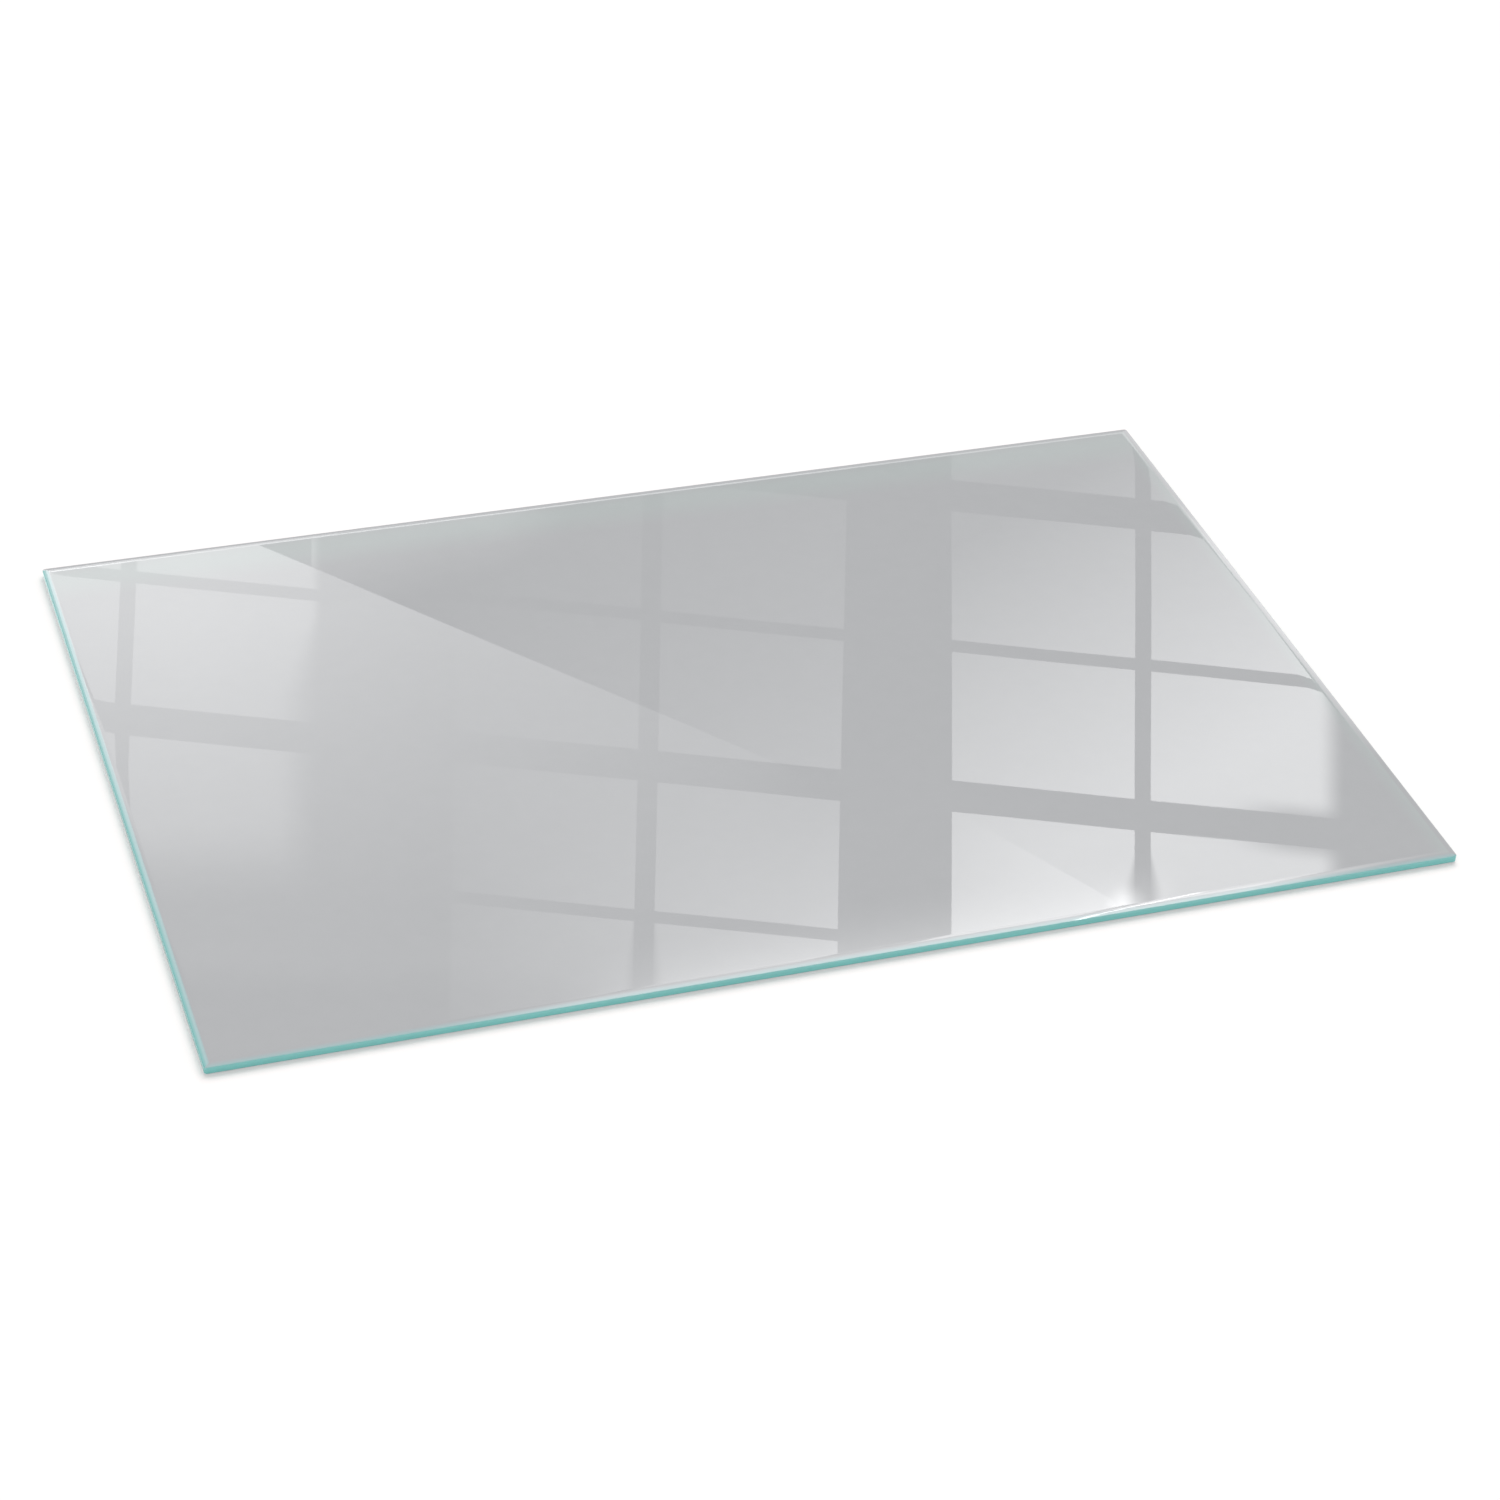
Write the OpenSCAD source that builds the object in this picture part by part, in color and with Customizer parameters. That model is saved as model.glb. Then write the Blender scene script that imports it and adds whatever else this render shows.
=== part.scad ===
// Rigid chair mat for a hard floor: a toughened glass pane with a polished, bevelled edge,
// a grey film under it, and small clear pads that hold it off the floor and stop it sliding.
// Millimetres. +X runs along the long side, +Y to the rear, +Z up.
// The origin is on the floor, under the middle of the pane.

/* [Pane] */
// Length of the pane along X
pane_l = 1200; // [600:10:1600]
// Width of the pane along Y
pane_w = 800; // [400:10:1200]
// Thickness of the glass
pane_t = 8; // [6:1:12]
// Radius of the four corners, seen from above
corner_r = 3; // [1:0.5:5]

/* [Polished edge] */
// How far the bevel on the upper edge reaches in over the pane
bevel_run = 6; // [5:0.5:12]
// How far the bevel falls on its way out
bevel_drop = 1; // [0.5:0.1:2]
// Size of the small chamfer round the lower edge
arris = 0.5; // [0.2:0.1:1]

/* [Backing film] */
// Thickness of the film
film_t = 0.2; // [0.1:0.1:0.5]
// How far the film stops short of the pane's edge
film_inset = 2; // [1:0.5:10]

/* [Anti-slip pads] */
// Diameter of a pad
pad_d = 20; // [12:1:40]
// Height of a pad
pad_t = 1; // [0.8:0.1:4]
// Radius that rounds the pad's lower rim
pad_rim = 0.4; // [0.1:0.1:0.6]
// Diameter of the adhesive disc on top of a pad
adhesive_d = 18; // [10:1:38]
// Thickness of the adhesive disc
adhesive_t = 0.2; // [0.1:0.1:0.5]
// Distance from the pane's edge to the centre of the outer pads
pad_margin = 40; // [25:5:120]

/* [Hidden] */
ROWS = ["front", "middle", "rear"];
COLUMNS = ["left", "centre_left", "centre_right", "right"];
PLACES = [for (row = [0 : len(ROWS) - 1], column = [0 : len(COLUMNS) - 1]) [row, column]];

function place_name(place) = str(ROWS[place[0]], "_", COLUMNS[place[1]]);
function pad_name(place) = str("pad_", place_name(place));
function adhesive_name(place) = str("adhesive_", place_name(place));

// Heights of the four layers above the floor
adhesive_z = pad_t;
film_z = adhesive_z + adhesive_t;
pane_z = film_z + film_t;

// A round piece of this size is drawn with this many segments
$fn = 64;
// Extra length on the solids that only cut, so that no faces meet by chance
spare = 10;

// Evenly spaced position of one item in a line of pads, measured from the middle
function spaced(index, count, side) = (index / (count - 1) - 0.5) * (side - 2 * pad_margin);

function place_centre(place) = [
    spaced(place[1], len(COLUMNS), pane_l),
    spaced(place[0], len(ROWS), pane_w)
];

// Section through the pane from one polished edge to the other
function pane_section(half) = [
    [arris - half, 0],
    [half - arris, 0],
    [half, arris],
    [half, pane_t - bevel_drop],
    [half - bevel_run, pane_t],
    [bevel_run - half, pane_t],
    [-half, pane_t - bevel_drop],
    [-half, arris]
];

// Plan of a sheet with four rounded corners
module rounded_sheet(length, width, radius) {
    square([length - 2 * radius, width], center = true);
    square([length, width - 2 * radius], center = true);
    for (x = [-1, 1], y = [-1, 1])
        translate([x * (length / 2 - radius), y * (width / 2 - radius)])
            circle(radius);
}

// The bevels of the long and the short sides meet in a mitre at each corner
module glass_pane() {
    color([0.45, 0.7, 0.68, 0.5])
        translate([0, 0, pane_z])
            intersection() {
                rotate([90, 0, 0])
                    linear_extrude(pane_w + spare, center = true)
                        polygon(pane_section(pane_l / 2));
                rotate([90, 0, 90])
                    linear_extrude(pane_l + spare, center = true)
                        polygon(pane_section(pane_w / 2));
                linear_extrude(2 * pane_t + spare, center = true)
                    rounded_sheet(pane_l, pane_w, corner_r);
            }
}

module backing_film() {
    color([0.71, 0.72, 0.73])
        translate([0, 0, film_z])
            linear_extrude(film_t)
                rounded_sheet(pane_l - 2 * film_inset, pane_w - 2 * film_inset, corner_r);
}

// A soft disc with a rounded lower rim, bonded to the film by the adhesive disc above it
module anti_slip_pad(place) {
    color([0.86, 0.9, 0.9, 0.6])
        translate(place_centre(place))
            rotate_extrude() {
                square([pad_d / 2 - pad_rim, pad_t]);
                translate([0, pad_rim])
                    square([pad_d / 2, pad_t - pad_rim]);
                intersection() {
                    translate([pad_d / 2 - pad_rim, pad_rim])
                        circle(pad_rim);
                    square([pad_d / 2, pad_t]);
                }
            }
}

module adhesive_disc(place) {
    color([0.93, 0.93, 0.88, 0.7])
        translate([0, 0, adhesive_z])
            translate(place_centre(place))
                cylinder(h = adhesive_t, d = adhesive_d);
}

glass_pane();
backing_film();
for (place = PLACES) {
    anti_slip_pad(place);
    adhesive_disc(place);
}
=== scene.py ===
import math

import bmesh
import bpy
from mathutils import Matrix, Vector


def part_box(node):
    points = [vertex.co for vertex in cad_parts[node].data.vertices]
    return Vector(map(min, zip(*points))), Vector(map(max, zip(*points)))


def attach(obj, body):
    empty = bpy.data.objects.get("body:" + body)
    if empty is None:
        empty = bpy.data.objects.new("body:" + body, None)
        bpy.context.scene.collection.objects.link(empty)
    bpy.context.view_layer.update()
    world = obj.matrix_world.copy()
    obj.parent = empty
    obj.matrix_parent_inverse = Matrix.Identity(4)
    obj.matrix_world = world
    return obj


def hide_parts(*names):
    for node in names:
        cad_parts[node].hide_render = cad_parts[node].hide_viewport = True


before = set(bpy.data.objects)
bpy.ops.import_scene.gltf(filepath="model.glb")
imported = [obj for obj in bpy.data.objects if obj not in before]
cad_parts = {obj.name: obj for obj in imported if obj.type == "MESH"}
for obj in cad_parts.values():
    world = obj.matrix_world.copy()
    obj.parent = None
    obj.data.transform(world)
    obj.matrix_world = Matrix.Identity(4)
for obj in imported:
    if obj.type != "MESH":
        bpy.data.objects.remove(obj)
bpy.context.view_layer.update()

# A rigid glass chair mat on a white studio floor. Every piece is built here over its CAD node:
# the pane with softly polished seams, the film under it, and the pads with their adhesive
# discs. All lengths are in metres.

PANE_LOW, PANE_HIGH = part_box("glass_pane")
FILM_LOW, FILM_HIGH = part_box("backing_film")
HALF_X = PANE_HIGH.x
HALF_Y = PANE_HIGH.y
TOP = PANE_HIGH.z
THICKNESS = PANE_HIGH.z - PANE_LOW.z

# The polished edge. A seam turns softly over its reach to either side.
BEVEL_RUN = 0.006
BEVEL_DROP = 0.001
ARRIS = 0.0005
TOP_SEAM_REACH = 0.003
EDGE_SEAM_REACH = 0.0005
ARRIS_SEAM_REACH = 0.00018
CORNER_RADIUS = 0.003
TIGHTEST_CORNER = 0.0004
CORNER_STEPS = 8

# How far in from its edge the flat middle of the pane and of the film is closed by one face
PANE_BORDER = 0.02
FILM_BORDER = 0.01

VIEW_AZIMUTH = -20.76
VIEW_ELEVATION = 35.82
VIEW_ROLL = 3.9
VIEW_DISTANCE = 3.6153
VIEW_TARGET = Vector((0.0012, -0.075, TOP))
LENS = 89.78

# Daylight that the glass mirrors. The wall of windows stands this far along the mirrored
# view. Its measures u, to the right, and v, up, lie in that wall, from the point that the
# middle of the view meets. The glazing bars fall by WALL_SLANT for each metre to the right.
# The glowing cards hang before the wall, CARD_STEP apart, so that none of them coincide.
WALL_DISTANCE = 5.611
WALL_SLANT = -0.1
CARD_STEP = 0.004

# Thickness of the main and the thin glazing bars, and the place and thickness of the sill
BAR_HEIGHTS = (0.047, 0.018)
SILL = (-0.6, 0.0)

# Where the front edge of the pane shows in the wall: its v at u = 0, and its rise along u
FRONT_EDGE = (-0.337, 0.169)
# The same for the seam along the back
BACK_EDGE = (0.409, 0.1305)

# The glint on the front edge
GLINT = (0.567, -0.236)
GLINT_REACH = 0.04

# Half of the view across and up, as the sine of the angle, and how softly its ends fade
FIELD = (0.2, 0.1)
FIELD_FADE = 0.04

# The sides of the pane, as directions seen from above
FRONT_SIDE = (0, -1)
RIGHT_SIDE = (1, 0)
LEFT_SIDE = (-1, 0)
BACK_SIDE = (0, 1)
ALL_SIDES = (FRONT_SIDE, RIGHT_SIDE, LEFT_SIDE, BACK_SIDE)

# The other windows of the room, in degrees round and up from the pane
WINDOW_TURN = 10.0
WINDOW_RISE = 3.0

# Light in the studio
AMBIENT = 0.8
KEY_ENERGY = 1.51
KEY_AZIMUTH = 27.0
KEY_ELEVATION = 57.0
KEY_ANGLE = 54.0
RIM_LIGHT = (0.62, 0.7, 0.7)
RIM_LIGHT_DROP = 0.0003
SIDE_CARD_WIDTH = 0.02
SIDE_CARD_HEIGHT = 0.0003
FLOOR_HALF = 40.0
FLOOR_TONE = (0.895, 0.857, 0.853)


def linear(red, green, blue, light=1.0):
    """The surface colour that reads as this screen colour of 0 to 255 under that much light."""
    shares = (red / 255, green / 255, blue / 255)
    return tuple(
        (c / 12.92 if c <= 0.04045 else ((c + 0.055) / 1.055) ** 2.4) / light for c in shares
    )


# How much light the top and the sides of the pane give back for each unit of colour
TOP_LIGHT = 1.12
SIDE_LIGHT = 0.86

GREY = linear(182, 183, 185, TOP_LIGHT)


class Shader:
    """A node tree with short calls for the nodes that the materials and the world share."""

    def __init__(self, owner):
        owner.use_nodes = True
        self.owner = owner
        self.tree = owner.node_tree
        self.tree.nodes.clear()

    def node(self, kind, inputs=(), **settings):
        made = self.tree.nodes.new(kind)
        for name, value in settings.items():
            setattr(made, name, value)
        for name, value in dict(inputs).items():
            self.feed(made.inputs[name], value)
        return made

    def feed(self, socket, value):
        if isinstance(value, bpy.types.NodeSocket):
            self.tree.links.new(value, socket)
        elif hasattr(value, "__len__") and socket.type == "RGBA":
            socket.default_value = (*value[:3], 1.0)
        else:
            socket.default_value = value

    def math(self, operation, a, b=0.0):
        return self.node("ShaderNodeMath", {0: a, 1: b}, operation=operation).outputs[0]

    def line(self, value, base, rate):
        """A straight line: base where value is 0, growing by rate for each unit of value."""
        inputs = {0: value, 1: rate, 2: base}
        return self.node("ShaderNodeMath", inputs, operation="MULTIPLY_ADD").outputs[0]

    def slope(self, u, v, base, across, up):
        """A flat slope over a wall: base at its origin, growing by across and up per metre."""
        return self.line(u, self.line(v, base, up), across)

    def above_edge(self, u, v, edge):
        """How far a point of the wall lies above an edge, given as its v at u = 0 and its rise."""
        return self.math("SUBTRACT", v, self.line(u, *edge))

    def gap(self, a, b):
        return self.math("ABSOLUTE", self.math("SUBTRACT", a, b))

    def times(self, *values):
        product = values[0]
        for value in values[1:]:
            product = self.math("MULTIPLY", product, value)
        return product

    def limited(self, value, low, high):
        return self.math("MINIMUM", self.math("MAXIMUM", value, low), high)

    def vector(self, operation, a, b=(0.0, 0.0, 0.0)):
        made = self.node("ShaderNodeVectorMath", {0: a, 1: b}, operation=operation)
        return made.outputs["Value" if operation == "DOT_PRODUCT" else "Vector"]

    def scaled(self, colour, factor):
        made = self.node("ShaderNodeVectorMath", {0: colour}, operation="SCALE")
        self.feed(made.inputs["Scale"], factor)
        return made.outputs["Vector"]

    def map_range(self, value, start, end, low, high, kind="LINEAR"):
        inputs = {
            "Value": value,
            "From Min": start,
            "From Max": end,
            "To Min": low,
            "To Max": high,
        }
        made = self.node("ShaderNodeMapRange", inputs, interpolation_type=kind, clamp=True)
        return made.outputs["Result"]

    def soft_step(self, value, start, end):
        """0 before start and 1 after end, with a soft change between."""
        return self.map_range(value, start, end, 0.0, 1.0, "SMOOTHSTEP")

    def split(self, vector):
        return self.node("ShaderNodeSeparateXYZ", {0: vector}).outputs

    def place(self):
        return self.node("ShaderNodeTexCoord").outputs["Object"]

    def geometry(self, name):
        return self.node("ShaderNodeNewGeometry").outputs[name]

    def mix(self, share, a, b):
        made = self.node("ShaderNodeMix", data_type="RGBA")
        self.feed(made.inputs[0], share)
        self.feed(made.inputs[6], a)
        self.feed(made.inputs[7], b)
        return made.outputs[2]

    def mix_shader(self, share, a, b):
        return self.node("ShaderNodeMixShader", {0: share, 1: a, 2: b}).outputs[0]

    def noise(self, place, scale, detail=2.0, stretch=(1.0, 1.0, 1.0)):
        spread = self.vector("MULTIPLY", place, stretch)
        inputs = {"Vector": spread, "Scale": scale, "Detail": detail}
        return self.node("ShaderNodeTexNoise", inputs).outputs["Fac"]

    def ramp(self, share, stops):
        made = self.node("ShaderNodeValToRGB", {"Fac": share})
        points = made.color_ramp.elements
        while len(points) < len(stops):
            points.new(1.0)
        for point, (place, colour) in zip(points, stops):
            point.position = place
            point.color = (*colour, 1.0)
        return made.outputs["Color"]

    def bump(self, height, strength, distance):
        inputs = {"Height": height, "Strength": strength, "Distance": distance}
        return self.node("ShaderNodeBump", inputs).outputs["Normal"]

    def principled(self, inputs):
        return self.finish(self.node("ShaderNodeBsdfPrincipled", inputs).outputs["BSDF"])

    def finish(self, shader, kind="ShaderNodeOutputMaterial"):
        self.node(kind, {"Surface": shader})
        return self.owner


def new_shader(name):
    return Shader(bpy.data.materials.new(name))


# ---------------------------------------------------------------- shapes


def add_object(name, data):
    made = bpy.data.objects.new(name, data)
    bpy.context.scene.collection.objects.link(made)
    return made


def corner_outline(half_x, half_y, radius):
    """A rectangle with rounded corners, as points counted anticlockwise."""
    points = []
    for corner, (sx, sy) in enumerate(((1, 1), (-1, 1), (-1, -1), (1, -1))):
        for step in range(CORNER_STEPS + 1):
            turn = math.pi / 2 * (corner + step / CORNER_STEPS)
            x = sx * (half_x - radius) + radius * math.cos(turn)
            y = sy * (half_y - radius) + radius * math.sin(turn)
            points.append((x, y))
    return points


def sheet_ring(half_x, half_y, inset, z):
    """One ring of points round a rectangular sheet, moved in from its outline by inset."""
    radius = max(CORNER_RADIUS - inset, TIGHTEST_CORNER)
    return [(x, y, z) for x, y in corner_outline(half_x - inset, half_y - inset, radius)]


def round_ring(centre, radius, z, steps=48):
    turns = [2 * math.pi * step / steps for step in range(steps)]
    return [(centre.x + radius * math.cos(t), centre.y + radius * math.sin(t), z) for t in turns]


def softened(before, corner, after, reach, steps=4):
    """A rounded change of direction at corner, starting and ending reach away from it."""
    start = corner + (before - corner).normalized() * reach
    end = corner + (after - corner).normalized() * reach
    curve = []
    for step in range(steps + 1):
        t = step / steps
        curve.append(start * (1 - t) ** 2 + corner * (2 * t * (1 - t)) + end * t * t)
    return curve


def rounded_section(first, seams, last):
    """A section from first to last that turns softly at each seam, given as point and reach."""
    path = [Vector(first)] + [Vector(point) for point, _ in seams] + [Vector(last)]
    section = [path[0]]
    for index, (_, reach) in enumerate(seams):
        section += softened(path[index], path[index + 1], path[index + 2], reach)
    return section + [path[-1]]


def skin(name, rings, materials, slot_of):
    """A closed, smooth mesh over rings of points that run from the top to the bottom."""
    shape = bmesh.new()
    loops = [[shape.verts.new(point) for point in ring] for ring in rings]
    count = len(loops[0])
    for upper, lower in zip(loops, loops[1:]):
        for i in range(count):
            j = (i + 1) % count
            shape.faces.new((upper[i], lower[i], lower[j], upper[j]))
    shape.faces.new(loops[0])
    shape.faces.new(list(reversed(loops[-1])))
    bmesh.ops.recalc_face_normals(shape, faces=shape.faces)
    for face in shape.faces:
        face.smooth = True
        face.material_index = slot_of(face)
    mesh = bpy.data.meshes.new(name)
    shape.to_mesh(mesh)
    shape.free()
    for material in materials:
        mesh.materials.append(material)
    made = add_object(name, mesh)
    made.modifiers.new("even_normals", "WEIGHTED_NORMAL").weight = 100
    return made


def stand_for(piece, node):
    """Lets a piece built here take the place of its CAD node."""
    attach(piece, "root")
    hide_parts(node)


# ---------------------------------------------------------------- the pieces


def build_pane():
    """The pane, with a soft seam where the bevel leaves the top."""
    section = rounded_section(
        (PANE_BORDER, THICKNESS),
        (
            ((BEVEL_RUN, THICKNESS), TOP_SEAM_REACH),
            ((0.0, THICKNESS - BEVEL_DROP), EDGE_SEAM_REACH),
            ((0.0, ARRIS), ARRIS_SEAM_REACH),
            ((ARRIS, 0.0), ARRIS_SEAM_REACH),
        ),
        (PANE_BORDER, 0.0),
    )
    rings = [sheet_ring(HALF_X, HALF_Y, inset, PANE_LOW.z + height) for inset, height in section]
    materials = (face_material(), bevel_material(), edge_material(), under_material())
    pane = skin("glass_pane_polished", rings, materials, pane_slot)
    stand_for(pane, "glass_pane")


def pane_slot(face):
    """0 for the top face, 1 for the bevel, 2 for the upright edge and its arris, 3 underneath."""
    middle = face.calc_center_median()
    inset = min(HALF_X - abs(middle.x), HALF_Y - abs(middle.y))
    if face.normal.z > 0.5:
        return 0 if inset > BEVEL_RUN else 1
    return 3 if face.normal.z < -0.95 else 2


def build_film():
    """The film, with the slightly rounded edge that a plotter knife leaves."""
    depth = FILM_HIGH.z - FILM_LOW.z
    cut = depth * 0.3
    section = rounded_section(
        (FILM_BORDER, depth),
        (((0.0, depth), cut), ((0.0, 0.0), cut)),
        (FILM_BORDER, 0.0),
    )
    rings = [sheet_ring(FILM_HIGH.x, FILM_HIGH.y, inset, FILM_LOW.z + z) for inset, z in section]
    film = skin("backing_film_cut", rings, (film_material(),), lambda face: 0)
    stand_for(film, "backing_film")


def build_disc(node, name, section_of, material):
    """A round piece over its CAD node, from a section given as distance in and height."""
    low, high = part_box(node)
    radius = (high.x - low.x) / 2
    centre = (low + high) / 2
    section = section_of(high.z - low.z, radius)
    rings = [round_ring(centre, radius - inset, low.z + height) for inset, height in section]
    disc = skin(name, rings, (material,), lambda face: 0)
    stand_for(disc, node)


def pad_section(height, radius):
    """A silicone pad: soft shoulders, a slight waist and a shallow hollow under it."""
    shoulder = 0.0003
    waist = 0.0002
    rim = 0.0006
    turn = 0.0002
    belly = 0.3 * height
    hollow = 0.12 * height
    hollow_start = 0.55 * radius
    hollow_floor = 0.7 * radius
    return rounded_section(
        (0.9 * radius, height),
        (
            ((shoulder, height), turn),
            ((waist, 0.5 * height), turn),
            ((0.0, belly), 0.5 * turn),
            ((rim, 0.0), 0.5 * rim),
            ((hollow_start, 0.0), rim),
            ((hollow_floor, hollow), rim),
        ),
        (0.95 * radius, hollow),
    )


def adhesive_section(height, radius):
    """A die-cut adhesive disc, pressed out a little round its middle."""
    pressed = 0.00015
    reach = 0.00005
    centre = 0.9 * radius
    return rounded_section(
        (centre, height),
        (
            ((pressed, height), reach),
            ((0.0, 0.5 * height), reach),
            ((pressed, 0.0), reach),
        ),
        (centre, 0.0),
    )


def build_pads():
    silicone = silicone_material()
    adhesive = adhesive_material()
    for node in sorted(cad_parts):
        if node.startswith("pad_"):
            build_disc(node, node + "_moulded", pad_section, silicone)
        if node.startswith("adhesive_"):
            build_disc(node, node + "_pressed", adhesive_section, adhesive)


# ---------------------------------------------------------------- materials of the pane


def edge_distance(shader):
    """How far a point lies in from the nearest side of the pane, seen from above."""
    x, y, _ = shader.split(shader.place())
    from_x = shader.math("SUBTRACT", HALF_X, shader.math("ABSOLUTE", x))
    from_y = shader.math("SUBTRACT", HALF_Y, shader.math("ABSOLUTE", y))
    return shader.math("MINIMUM", from_x, from_y)


def painted_far_side_glow(shader):
    """How strongly a painted pale teal glow, light refracted through the two sides that face away
    from the eye, lies on the face beside them.
    """
    x, y, _ = shader.split(shader.place())
    eye_x, eye_y, _ = shader.split(shader.geometry("Incoming"))
    from_x = shader.math("ADD", shader.times(x, shader.math("SIGN", eye_x)), HALF_X)
    from_y = shader.math("ADD", shader.times(y, shader.math("SIGN", eye_y)), HALF_Y)
    beside_x = shader.map_range(from_x, start=BEVEL_RUN, end=0.022, low=1.0, high=0.0)
    rise = shader.map_range(from_y, start=0.5 * BEVEL_RUN, end=0.02, low=0.2, high=1.0)
    fall = shader.map_range(from_y, start=0.03, end=0.065, low=1.0, high=0.0)
    beside_y = shader.times(rise, fall)
    return shader.math("MAXIMUM", beside_x, beside_y)


def facing_side(shader):
    """How much this side of the pane is turned towards the eye, from -1 to 1."""
    level = shader.vector("MULTIPLY", shader.geometry("Normal"), (1.0, 1.0, 0.0))
    outward = shader.vector("NORMALIZE", level)
    return shader.vector("DOT_PRODUCT", outward, shader.geometry("Incoming"))


def polish(shader, place):
    """The coat's roughness: a clear polish with faint wiped patches."""
    wiped = shader.noise(place, scale=9.0, detail=4.0, stretch=(1.0, 2.2, 1.0))
    return shader.map_range(wiped, start=0.45, end=0.75, low=0.004, high=0.016)


def roller_wave(shader, place):
    """The slight wave that toughening leaves in the surface."""
    wavelength = 0.27
    x, _, _ = shader.split(place)
    drift = shader.times(shader.noise(place, scale=1.3), 3.0)
    turn = shader.line(x, drift, 2 * math.pi / wavelength)
    return shader.bump(shader.math("SINE", turn), strength=1.0, distance=0.00001)


def glass_over(shader, colour):
    """Something coloured that lies under clear polished glass."""
    place = shader.place()
    return shader.principled(
        {
            "Base Color": colour,
            "Roughness": 0.55,
            "Specular IOR Level": 0.0,
            "Coat Weight": 1.0,
            "Coat Roughness": polish(shader, place),
            "Coat IOR": 1.52,
            "Coat Normal": roller_wave(shader, place),
        }
    )


def face_material():
    """The grey film seen through the glass, with a painted pale teal glow of light refracted
    through the far sides.
    """
    shader = new_shader("face_glass")
    # Painted glow: the face is mixed towards a paler teal along the far sides.
    face_with_painted_glow = shader.mix(painted_far_side_glow(shader), GREY, linear(183, 188, 188, TOP_LIGHT))
    mottle = shader.noise(shader.place(), scale=60.0, detail=5.0)
    shade = shader.map_range(mottle, start=0.3, end=0.7, low=0.992, high=1.008)
    return glass_over(shader, shader.scaled(face_with_painted_glow, shade))


def teal_depth(shader, depth, light):
    """The colour of the glass by how deep the eye looks into its edge, from 0 to 1. Its middle
    tones are lifted above both ends by a painted highlight.
    """
    # The paler middle tones are a painted highlight across the bevel, not the colour of the glass.
    tones = (
        (0.0, (182, 183, 185)),
        (0.25, (179, 186, 189)),
        (0.5, (175, 192, 194)),
        (0.7, (165, 195, 196)),
        (0.85, (138, 189, 187)),
        (1.0, (107, 178, 174)),
    )
    return shader.ramp(depth, [(at, linear(*tone, light)) for at, tone in tones])


def bevel_material():
    """Bevelled glass: teal builds up outwards on the sides that face the eye."""
    shader = new_shader("bevel_glass")
    outward = shader.map_range(edge_distance(shader), start=BEVEL_RUN, end=0.0, low=0.0, high=1.0)
    facing = facing_side(shader)
    near = shader.soft_step(facing, start=-0.1, end=0.15)
    head_on = shader.soft_step(facing, start=0.35, end=0.65)
    growth = shader.line(head_on, base=0.5, rate=0.3)
    start = shader.line(head_on, base=0.5, rate=-0.5)
    risen = shader.times(start, shader.soft_step(outward, start=0.0, end=0.15))
    depth = shader.math("ADD", shader.times(outward, growth), risen)
    return glass_over(shader, teal_depth(shader, shader.times(depth, near), TOP_LIGHT))


def edge_material():
    """The upright edge, where the depth of the pane shows as teal, painted a little paler towards
    its top as a highlight.
    """
    shader = new_shader("edge_glass")
    place = shader.place()
    height = shader.split(place)[2]
    shoulder = TOP - BEVEL_DROP
    waist = PANE_LOW.z + 0.4 * THICKNESS
    # Painted highlight: the edge is a shade paler at its top, fading out by the waist.
    fall = shader.map_range(height, start=shoulder, end=waist, low=0.95, high=1.0)
    streaks = shader.noise(place, scale=5.0, detail=3.0, stretch=(1.0, 1.0, 40.0))
    shade = shader.map_range(streaks, start=0.3, end=0.7, low=0.96, high=1.04)
    return glass_over(shader, shader.scaled(teal_depth(shader, fall, SIDE_LIGHT), shade))


def under_material():
    """The clear rim under the pane, outside the film. Inwards of its darker outer line it is
    painted a paler teal, painted light that lifts the shade in the slit under the pane.
    """
    shader = new_shader("under_glass")
    rim = shader.map_range(edge_distance(shader), start=0.0, end=0.002, low=0.0, high=1.0)
    # Painted light: the paler teal inwards bounces extra light into the shaded slit under the
    # edge.
    return glass_over(shader, shader.mix(rim, linear(110, 176, 172), linear(150, 190, 188)))


# ---------------------------------------------------------------- hidden layers


def film_material():
    """Matt grey film with the fine pebble of its release side."""
    shader = new_shader("grey_film")
    place = shader.place()
    patches = shader.noise(place, scale=35.0, detail=4.0)
    pebble = shader.noise(place, scale=900.0, detail=1.0)
    tone = shader.map_range(patches, start=0.3, end=0.7, low=0.97, high=1.03)
    return shader.principled(
        {
            "Base Color": shader.scaled(GREY, tone),
            "Roughness": shader.map_range(patches, start=0.3, end=0.7, low=0.42, high=0.55),
            "Normal": shader.bump(pebble, strength=0.25, distance=0.0001),
        }
    )


def silicone_material():
    """Clear silicone with a little haze."""
    shader = new_shader("clear_silicone")
    haze = shader.noise(shader.place(), scale=220.0, detail=3.0)
    return shader.principled(
        {
            "Base Color": shader.mix(haze, (0.74, 0.8, 0.8), (0.84, 0.88, 0.87)),
            "Roughness": shader.map_range(haze, start=0.3, end=0.7, low=0.25, high=0.4),
            "IOR": 1.41,
            "Transmission Weight": 0.5,
            "Normal": shader.bump(haze, strength=0.2, distance=0.0001),
        }
    )


def adhesive_material():
    """Double-sided tape: clear, faintly yellow, with tiny trapped bubbles."""
    shader = new_shader("clear_adhesive")
    bubbles = shader.noise(shader.place(), scale=1500.0, detail=1.0)
    dots = shader.map_range(bubbles, start=0.62, end=0.7, low=0.0, high=1.0)
    return shader.principled(
        {
            "Base Color": shader.mix(dots, (0.78, 0.78, 0.7), (0.9, 0.9, 0.86)),
            "Roughness": shader.line(dots, base=0.18, rate=0.22),
            "Transmission Weight": 0.4,
        }
    )


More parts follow.
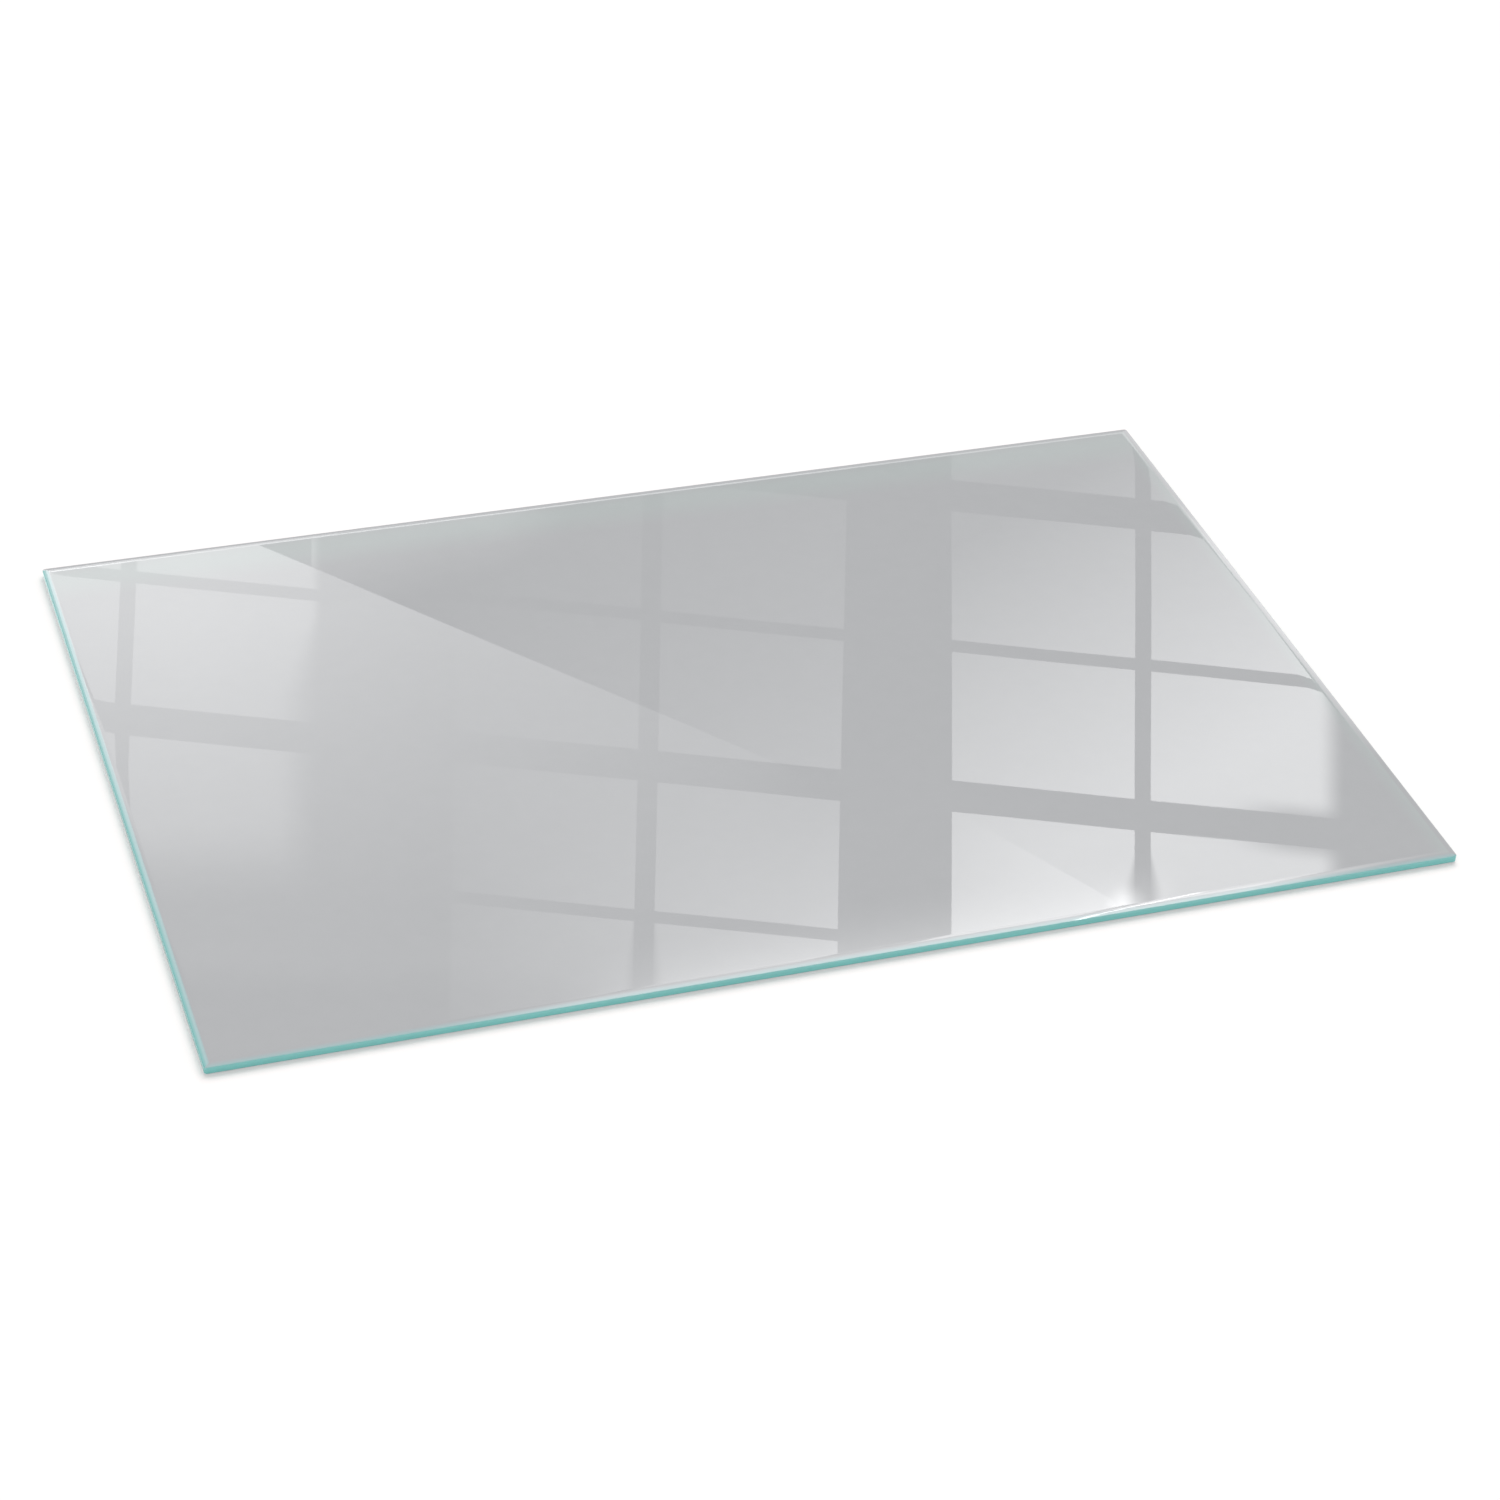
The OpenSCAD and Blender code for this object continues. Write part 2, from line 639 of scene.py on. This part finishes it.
# ---------------------------------------------------------------- camera and mirrored windows


def view_axes(azimuth, elevation, roll=0.0):
    """Right, up and backward directions of a camera that looks at the object."""
    a, e, r = (math.radians(angle) for angle in (azimuth, elevation, roll))
    back = Vector((math.sin(a) * math.cos(e), -math.cos(a) * math.cos(e), math.sin(e)))
    right = Vector((math.cos(a), math.sin(a), 0.0))
    up = back.cross(right)
    turned_right = right * math.cos(r) + up * math.sin(r)
    turned_up = up * math.cos(r) - right * math.sin(r)
    return turned_right, turned_up, back


def place_camera():
    right, up, back = view_axes(VIEW_AZIMUTH, VIEW_ELEVATION, VIEW_ROLL)
    data = bpy.data.cameras.new("camera")
    data.lens = LENS
    data.sensor_width = 36.0
    data.clip_start = 0.1
    data.clip_end = 200.0
    camera = add_object("camera", data)
    axes = Matrix((right, up, back)).transposed().to_4x4()
    camera.matrix_world = Matrix.Translation(VIEW_TARGET + back * VIEW_DISTANCE) @ axes
    bpy.context.scene.camera = camera


def mirrored_wall(azimuth, elevation, roll, target):
    """Place and axes of a wall that the pane's top mirrors straight at a camera."""
    right, up, back = view_axes(azimuth, elevation, roll)
    middle = target + back * (VIEW_DISTANCE - WALL_DISTANCE)
    flip = Vector((1.0, 1.0, -1.0))
    place = middle * flip + Vector((0.0, 0.0, 2 * TOP))
    axes = Matrix((right * flip, up * flip, (right * flip).cross(up * flip)))
    return Matrix.Translation(place) @ axes.transposed().to_4x4()


def light_card(name, wall, depth, outlines, material):
    """Flat glowing shapes on the wall that only show as reflections."""
    mesh = bpy.data.meshes.new(name)
    points = [(u, v, depth) for outline in outlines for u, v in outline]
    faces = []
    start = 0
    for outline in outlines:
        faces.append(tuple(range(start, start + len(outline))))
        start += len(outline)
    mesh.from_pydata(points, [], faces)
    mesh.materials.append(material)
    card = add_object(name, mesh)
    card.matrix_world = wall
    card.visible_camera = False
    card.visible_diffuse = False
    card.visible_transmission = False
    card.visible_shadow = False


def added_light(shader, strength):
    """Light that is added to whatever lies behind it."""
    glow = shader.node("ShaderNodeEmission", {"Color": (1.0, 1.0, 1.0), "Strength": strength})
    clear = shader.node("ShaderNodeBsdfTransparent").outputs["BSDF"]
    both = shader.node("ShaderNodeAddShader", {0: glow.outputs["Emission"], 1: clear})
    return shader.finish(both.outputs["Shader"])


def main_view_share(shader, wall, sides):
    """1 for rays that the main view sends to the wall, and 0 for the rays of other views.

    The rays are told by their slants across and up the wall. These run from what the flat top
    sends to what the bevels on these sides of the pane send.
    """
    back = view_axes(VIEW_AZIMUTH, VIEW_ELEVATION)[2]
    to_wall = wall.to_3x3().inverted()
    bevels = [Vector((x * BEVEL_DROP, y * BEVEL_DROP, BEVEL_RUN)).normalized() for x, y in sides]
    sent = [to_wall @ (-back).reflect(bevel) for bevel in bevels]
    inputs = {0: shader.scaled(shader.geometry("Incoming"), -1.0)}
    turned = shader.node("ShaderNodeVectorTransform", inputs, vector_type="VECTOR")
    slants = shader.split(turned.outputs[0])
    shares = []
    for axis, field in enumerate(FIELD):
        low = min(0.0, *(ray[axis] for ray in sent)) - field
        high = max(0.0, *(ray[axis] for ray in sent)) + field
        shares.append(shader.soft_step(slants[axis], low - FIELD_FADE, low))
        shares.append(shader.soft_step(slants[axis], high + FIELD_FADE, high))
    return shader.times(*shares)


def hang_lights(wall, lights):
    """Hangs each light, given as its name, outlines, strength over the wall and sides."""
    for index, (name, outlines, strength_of, sides) in enumerate(lights):
        shader = new_shader(name + "_glow")
        u, v, _ = shader.split(shader.place())
        shown = main_view_share(shader, wall, sides)
        material = added_light(shader, shader.times(strength_of(shader, u, v), shown))
        light_card(name, wall, CARD_STEP * index, outlines, material)


def glazing_bars(top, pitch, count):
    """Height of the middle and thickness of each bar of a window, from above down to its sill."""
    bars = [(top - pitch * index, BAR_HEIGHTS[index % 2]) for index in range(-1, count)]
    return bars + [SILL]


def window_panes(columns, bars, lean=0.0):
    """Outlines of the panes of one window: columns of panes between slanted glazing bars."""
    panes = []
    for (upper, upper_depth), (lower, lower_depth) in zip(bars, bars[1:]):
        high = upper - upper_depth / 2
        low = lower + lower_depth / 2
        for left, right in columns:
            corners = ((left, low), (right, low), (right, high), (left, high))
            panes.append([(u + lean * v, v + WALL_SLANT * u) for u, v in corners])
    return panes


def square_outline(centre, half):
    corners = ((-half, -half), (half, -half), (half, half), (-half, half))
    return [(centre[0] + u, centre[1] + v) for u, v in corners]


# The strength of each light over the wall follows, as a function of u and v.


def beside_mullion(shader, across, v, start, end):
    """The light left beside a mullion whose edges blur more and more from start down to end."""
    half_gap = 0.007
    reach = shader.map_range(v, start, end, low=0.013, high=0.034)
    return shader.soft_step(shader.math("ABSOLUTE", across), half_gap, reach)


def right_window_light(shader, u, v):
    """Brightest at the lower right, where the window and its main bar also lose their edges."""
    level = shader.limited(shader.slope(u, v, base=1.11, across=3.3, up=-5.6), 0.4, 3.55)
    from_bar = shader.gap(v, shader.line(u, base=-0.039, rate=WALL_SLANT))
    beside_bar = shader.soft_step(from_bar, start=0.05, end=0.01)
    dimmed = shader.times(shader.soft_step(u, start=0.7, end=0.82), beside_bar)
    right_end = shader.soft_step(u, start=0.894, end=0.85)
    blurred = beside_mullion(shader, shader.line(u, -0.59, 1.0), v, start=-0.15, end=-0.21)
    return shader.times(level, shader.line(dimmed, 1.0, -1.0), blurred, right_end)


def middle_window_light(shader, u, v):
    """Grows to the right and, ever faster, downwards."""
    across = shader.math("MAXIMUM", shader.line(u, base=0.51, rate=1.0), 0.0)
    growth = shader.math("EXPONENT", shader.times(v, -3.4))
    down = shader.math("MINIMUM", shader.times(growth, 1.6), 3.7)
    from_mullion = shader.slope(u, v, base=0.153, across=1.0, up=-0.02)
    blurred = beside_mullion(shader, from_mullion, v, start=-0.22, end=-0.34)
    return shader.times(across, down, blurred)


def left_window_light(shader, u, v):
    """Even, with a soft lower end and a right edge that blurs downwards."""
    sharpness = shader.map_range(v, start=0.2, end=0.08, low=-0.662, high=-0.72)
    right_end = shader.soft_step(u, -0.642, sharpness)
    return shader.times(shader.soft_step(v, start=-0.23, end=-0.1), right_end)


def sheet_light(shader, u, v):
    """Strongest at the upper left, with a soft lower edge and a soft right end."""
    level = shader.limited(shader.line(v, base=1.25, rate=3.6), 0.37, 2.0)
    across = shader.math("MINIMUM", shader.line(u, base=0.27, rate=-1.12), 1.2)
    lower_end = shader.soft_step(v, start=-0.375, end=-0.31)
    right_end = shader.soft_step(u, start=0.12, end=-0.02)
    return shader.times(level, across, lower_end, right_end)


def haze_light(shader, u, v):
    """A haze over the upper left of the sheet."""
    level = shader.limited(shader.slope(u, v, base=-3.49, across=-2.8, up=9.0), 0.0, 0.9)
    return shader.times(level, shader.soft_step(u, start=-0.25, end=-0.38))


def front_glow_light(shader, u, v):
    """A glow that gathers towards the front edge of the pane."""
    strength = 1.8
    above = shader.above_edge(u, v, FRONT_EDGE)
    near = shader.map_range(above, start=0.0, end=0.09, low=1.0, high=0.0)
    left_end = shader.soft_step(u, start=-0.3, end=-0.1)
    right_end = shader.soft_step(u, start=0.66, end=0.58)
    return shader.times(strength, near, near, left_end, right_end)


def low_sheet_light(shader, u, v):
    """Grows evenly to the right."""
    return shader.line(u, base=-1.2, rate=4.0)


def glint_light(shader, u, v):
    """A round glint where the front edge catches the light."""
    strength = 3.5
    off_u = shader.math("SUBTRACT", u, GLINT[0])
    off_v = shader.math("SUBTRACT", v, GLINT[1])
    square = shader.math("ADD", shader.times(off_u, off_u), shader.times(off_v, off_v))
    spot = shader.soft_step(shader.math("SQRT", square), start=GLINT_REACH, end=0.0)
    return shader.times(strength, spot)


def front_bevel_light(shader, u, v):
    """What the front bevel mirrors, with a glint, and above it what its soft seam mirrors."""
    glint_u = 0.679
    glint_strength = 10.0
    left_end = shader.soft_step(u, start=-0.38, end=-0.02)
    right_end = shader.soft_step(u, start=1.12, end=0.9)
    middle_left = shader.soft_step(u, start=0.0, end=0.25)
    middle_right = shader.soft_step(u, start=0.72, end=0.6)
    seam_share = shader.line(shader.times(middle_left, middle_right), base=0.22, rate=0.12)
    above = shader.above_edge(u, v, FRONT_EDGE)
    share = shader.map_range(above, start=-0.7, end=-0.05, low=1.0, high=seam_share)
    bar = shader.times(shader.line(u, base=3.6, rate=1.4), share, left_end, right_end)
    glint = shader.soft_step(shader.gap(u, glint_u), start=0.022, end=0.0)
    return shader.math("ADD", bar, shader.times(glint_strength, glint))


def right_bevel_light(shader, u, v):
    """Along the right side the light peaks before the middle and ends short of the front."""
    along = shader.line(v, u, -0.95)
    peak_start = shader.soft_step(along, start=0.3, end=0.45)
    peak_end = shader.soft_step(along, start=0.9, end=0.66)
    level = shader.line(shader.times(peak_start, peak_end), base=1.2, rate=1.4)
    front_end = shader.soft_step(along, start=1.03, end=0.85)
    inner_end = shader.soft_step(shader.slope(u, v, -0.938, 1.0, 0.779), start=0.16, end=0.3)
    return shader.times(level, front_end, inner_end)


def left_bevel_light(shader, u, v):
    """Grows evenly upwards."""
    return shader.line(v, base=1.75, rate=1.45)


def back_seam_light(shader, u, v):
    """A band above the back edge, and a wider patch of light at its left end."""
    above = shader.above_edge(u, v, BACK_EDGE)
    lower_end = shader.soft_step(above, start=-0.01, end=0.01)
    upper_end = shader.soft_step(above, start=0.34, end=0.14)
    band = shader.times(shader.line(u, base=2.15, rate=-1.2), lower_end, upper_end)
    risen = shader.times(1.5, shader.soft_step(u, start=-0.15, end=-1.0))
    patch = shader.line(shader.soft_step(u, start=-1.05, end=-1.2), risen, -0.7)
    return shader.math("MAXIMUM", band, patch)


def hang_windows():
    """The wall of three windows and the sheets of light that the pane mirrors in the main view."""
    wall = mirrored_wall(VIEW_AZIMUTH, VIEW_ELEVATION, VIEW_ROLL, VIEW_TARGET)
    main_bars = glazing_bars(0.412, 0.2255, 4)
    left_bars = glazing_bars(0.381, 0.2145, 3)
    right_panes = window_panes(((0.3025, 0.5775), (0.6015, 0.9)), main_bars)
    middle_panes = window_panes(((-0.443, -0.168), (-0.138, 0.137)), main_bars, 0.02)
    left_panes = window_panes(((-1.25, -0.953), (-0.929, -0.63)), left_bars, 0.047)
    # Outlines of the other lights, as points (u, v) of the wall
    sheet = ((-1.4, -0.45), (0.14, -0.45), (0.14, -0.061), (-1.4, 0.586))
    haze = ((-0.66, 0.275), (-0.2, 0.082), (-0.2, 0.5), (-0.66, 0.5))
    front_glow = ((-0.3, -0.45), (0.66, -0.29), (0.66, -0.12), (-0.3, -0.28))
    low_sheet = ((0.303, -0.09), (0.303, -0.33), (0.57, -0.26), (0.545, -0.225))
    glint = square_outline(GLINT, GLINT_REACH)
    front_bevel = ((-0.7, -1.45), (1.3, -0.9), (1.3, -0.12), (-0.7, -0.455))
    right_bevel = ((0.4, 0.73), (1.1, -0.18), (1.55, 0.12), (1.5, 0.33), (0.9, 0.85))
    left_bevel = ((-1.6, -0.75), (-1.22, -0.75), (-1.22, 0.35), (-1.6, 0.35))
    back_seam = ((-1.5, 0.213), (0.72, 0.503), (0.72, 0.97), (-1.5, 0.72))
    lights = (
        ("window_right", right_panes, right_window_light, ALL_SIDES),
        ("window_middle", middle_panes, middle_window_light, ALL_SIDES),
        ("window_left", left_panes, left_window_light, ALL_SIDES),
        ("sheet_of_light", (sheet,), sheet_light, ALL_SIDES),
        ("haze_over_sheet", (haze,), haze_light, ALL_SIDES),
        ("front_glow", (front_glow,), front_glow_light, ALL_SIDES),
        ("low_sheet_of_light", (low_sheet,), low_sheet_light, ALL_SIDES),
        ("glint", (glint,), glint_light, ALL_SIDES),
        ("front_bevel_card", (front_bevel,), front_bevel_light, (FRONT_SIDE,)),
        ("right_bevel_card", (right_bevel,), right_bevel_light, (RIGHT_SIDE,)),
        ("left_bevel_card", (left_bevel,), left_bevel_light, (LEFT_SIDE,)),
        ("back_seam_card", (back_seam,), back_seam_light, (BACK_SIDE, LEFT_SIDE, RIGHT_SIDE)),
    )
    hang_lights(wall, lights)


def hang_left_side_light():
    """Light low beside the left edge, which pales that edge towards the rear in steep views."""
    outer = -HALF_X - SIDE_CARD_WIDTH
    rear = HALF_Y + SIDE_CARD_WIDTH
    outline = ((outer, -HALF_Y), (-HALF_X, -HALF_Y), (-HALF_X, rear), (outer, rear))
    shader = new_shader("left_side_glow")
    _, y, _ = shader.split(shader.place())
    _, _, eye_z = shader.split(shader.geometry("Incoming"))
    level = shader.math("MAXIMUM", shader.line(y, base=0.06, rate=0.9), 0.0)
    steep = shader.soft_step(shader.math("ABSOLUTE", eye_z), start=0.3, end=0.4)
    material = added_light(shader, shader.times(level, steep))
    near_floor = Matrix.Translation((0.0, 0.0, SIDE_CARD_HEIGHT))
    light_card("left_side_card", near_floor, 0.0, (outline,), material)


# ---------------------------------------------------------------- studio


def room_windows(shader, direction):
    """Windows round the rest of the room, for the reflections that other views show."""
    x, y, z = shader.split(direction)
    turn = shader.math("DEGREES", shader.math("ARCTAN2", x, y))
    rise = shader.math("DEGREES", shader.math("ARCSINE", z))
    along = shader.math("FLOORED_MODULO", turn, WINDOW_TURN)
    from_mullion = shader.gap(along, WINDOW_TURN / 2)
    from_bar = shader.gap(shader.math("FLOORED_MODULO", rise, WINDOW_RISE), WINDOW_RISE / 2)
    pane = shader.times(
        shader.soft_step(from_mullion, start=0.08, end=0.22),
        shader.soft_step(from_mullion, start=3.8, end=3.6),
        shader.soft_step(from_bar, start=0.08, end=0.22),
        shader.soft_step(rise, start=8.0, end=12.0),
        shader.soft_step(rise, start=44.0, end=36.0),
    )
    beyond_main = shader.soft_step(shader.gap(turn, -VIEW_AZIMUTH), start=44.0, end=50.0)
    return shader.times(pane, beyond_main, shader.line(rise, base=-0.3, rate=0.08))


def light_world():
    """White to the camera, even light on the object, and a pale low sky in reflections."""
    world = bpy.data.worlds.new("studio")
    bpy.context.scene.world = world
    shader = Shader(world)
    direction = shader.node("ShaderNodeTexCoord").outputs["Generated"]
    height = shader.split(direction)[2]
    low_sky = shader.map_range(height, start=0.33, end=0.4, low=0.45, high=0.0)
    mirrored = shader.math("ADD", low_sky, room_windows(shader, direction))
    path = shader.node("ShaderNodeLightPath").outputs
    white = (1.0, 1.0, 1.0)
    even = shader.node("ShaderNodeBackground", {"Color": white, "Strength": AMBIENT}).outputs[0]
    seen = shader.node("ShaderNodeBackground", {"Color": white}).outputs[0]
    gloss = shader.node("ShaderNodeBackground", {"Color": white, "Strength": mirrored}).outputs[0]
    matt = shader.mix_shader(path["Is Camera Ray"], even, seen)
    shader.finish(shader.mix_shader(path["Is Glossy Ray"], matt, gloss), "ShaderNodeOutputWorld")


def hang_key_light():
    """A broad soft light from behind on the right, which lays a narrow shadow at the front."""
    data = bpy.data.lights.new("key", "SUN")
    data.energy = KEY_ENERGY
    data.angle = math.radians(KEY_ANGLE)
    key = add_object("key", data)
    a, e = math.radians(KEY_AZIMUTH), math.radians(KEY_ELEVATION)
    towards = Vector((math.sin(a) * math.cos(e), math.cos(a) * math.cos(e), math.sin(e)))
    key.rotation_mode = "QUATERNION"
    key.rotation_quaternion = towards.to_track_quat("Z", "Y")
    key.visible_glossy = False


def light_rim():
    """Daylight that the clear rim outside the film lets through to the floor."""
    height = FILM_HIGH.z - RIM_LIGHT_DROP
    corners = ((-1, -1), (1, -1), (1, 1), (-1, 1))
    points = [(x * HALF_X, y * HALF_Y, height) for x, y in corners]
    points += [(x * FILM_HIGH.x, y * FILM_HIGH.y, height) for x, y in corners]
    faces = [(i, i + 4, (i + 1) % 4 + 4, (i + 1) % 4) for i in range(4)]
    mesh = bpy.data.meshes.new("rim_light")
    mesh.from_pydata(points, [], faces)
    shader = new_shader("rim_glow")
    glow = shader.node("ShaderNodeEmission", {"Color": RIM_LIGHT})
    mesh.materials.append(shader.finish(glow.outputs["Emission"]))
    rim = add_object("rim_light", mesh)
    rim.visible_camera = False
    rim.visible_glossy = False


def lay_floor():
    """A plain white floor that runs out past the view on every side."""
    mesh = bpy.data.meshes.new("floor")
    corners = [(x, y, 0.0) for x, y in square_outline((0.0, 0.0), FLOOR_HALF)]
    mesh.from_pydata(corners, [], [(0, 1, 2, 3)])
    surface = {"Base Color": FLOOR_TONE, "Roughness": 0.9, "Specular IOR Level": 0.0}
    mesh.materials.append(new_shader("studio_floor").principled(surface))
    add_object("floor", mesh)


build_pane()
build_film()
build_pads()
place_camera()
hang_windows()
hang_left_side_light()
light_world()
hang_key_light()
light_rim()
lay_floor()
bpy.context.scene.view_settings.view_transform = "Standard"
